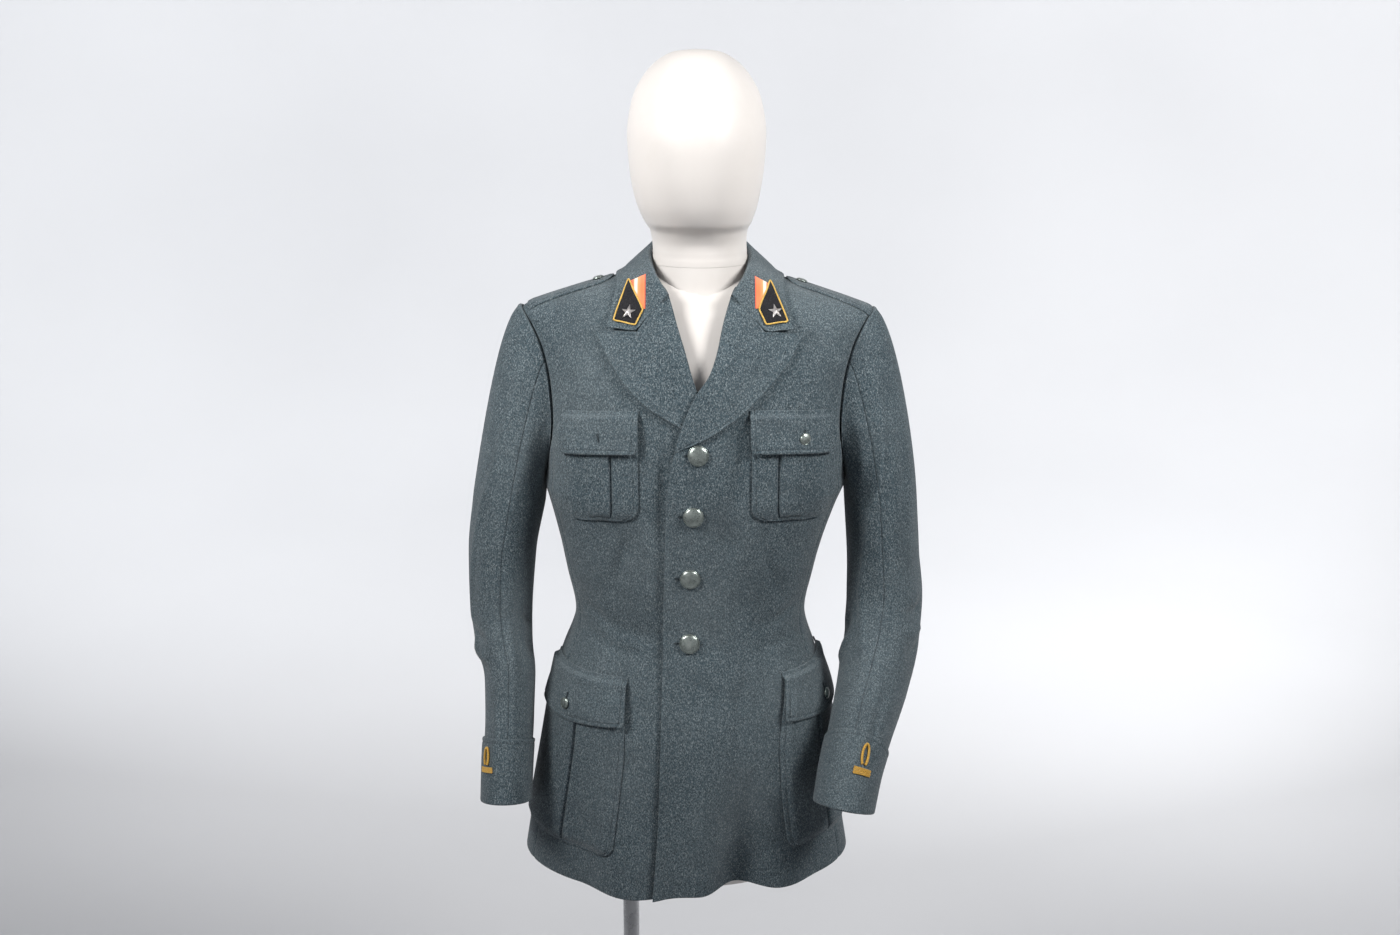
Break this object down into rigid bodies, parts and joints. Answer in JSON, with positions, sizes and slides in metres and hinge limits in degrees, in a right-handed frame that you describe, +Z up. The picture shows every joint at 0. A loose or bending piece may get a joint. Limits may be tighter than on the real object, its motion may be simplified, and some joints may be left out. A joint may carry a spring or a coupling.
{
  "type": "military dress tunic on a limbless dress form",
  "caption": "Grey-green wool military dress tunic with peak lapels, patch pockets and shoulder straps, worn by an egg-headed limbless form on a pole and round base.",
  "frame": {"origin": "on the floor under the middle of the round base", "axes": "+Z up; the tunic's front faces -Y; +X is the wearer's left"},
  "size_m": [0.591, 0.4069, 1.748],
  "materials": {
    "wool_cloth": "matte napped wool melton",
    "black_cloth": "matte felt",
    "yellow_cord": "braided cord",
    "orange_ribbon": "ribbed ribbon with a white stripe",
    "button_metal": "painted grey-green, worn",
    "star_metal": "polished white metal",
    "form_shell": "satin cream",
    "stand_steel": "brushed"
  },
  "bodies": {
    "root": {"front_right": "wool_cloth", "side_right": "wool_cloth", "back_right": "wool_cloth", "sleeve_under_right": "wool_cloth", "sleeve_upper_right": "wool_cloth", "cuff_right": "wool_cloth", "lapel_right": "wool_cloth", "chest_pocket_right": "wool_cloth", "chest_flap_right": "wool_cloth", "lower_pocket_right": "wool_cloth", "lower_flap_right": "wool_cloth", "strap_right": "wool_cloth", "collar_patch_right": "black_cloth", "collar_ribbon_right": "orange_ribbon", "collar_piping_right": "yellow_cord", "collar_star_right": "star_metal", "cuff_bar_right": "yellow_cord", "cuff_loop_right": "yellow_cord", "button_lower_right": "button_metal", "button_strap_right": "button_metal", "front_left": "wool_cloth", "side_left": "wool_cloth", "back_left": "wool_cloth", "sleeve_under_left": "wool_cloth", "sleeve_upper_left": "wool_cloth", "cuff_left": "wool_cloth", "lapel_left": "wool_cloth", "chest_pocket_left": "wool_cloth", "chest_flap_left": "wool_cloth", "lower_pocket_left": "wool_cloth", "lower_flap_left": "wool_cloth", "strap_left": "wool_cloth", "collar_patch_left": "black_cloth", "collar_ribbon_left": "orange_ribbon", "collar_piping_left": "yellow_cord", "collar_star_left": "star_metal", "cuff_bar_left": "yellow_cord", "cuff_loop_left": "yellow_cord", "button_lower_left": "button_metal", "button_strap_left": "button_metal", "collar": "wool_cloth", "button_front_1": "button_metal", "button_front_2": "button_metal", "button_front_3": "button_metal", "button_front_4": "button_metal", "button_chest_left": "button_metal", "form_head": "form_shell", "form_torso": "form_shell", "pole": "stand_steel", "base": "stand_steel"}
  },
  "joints": []
}
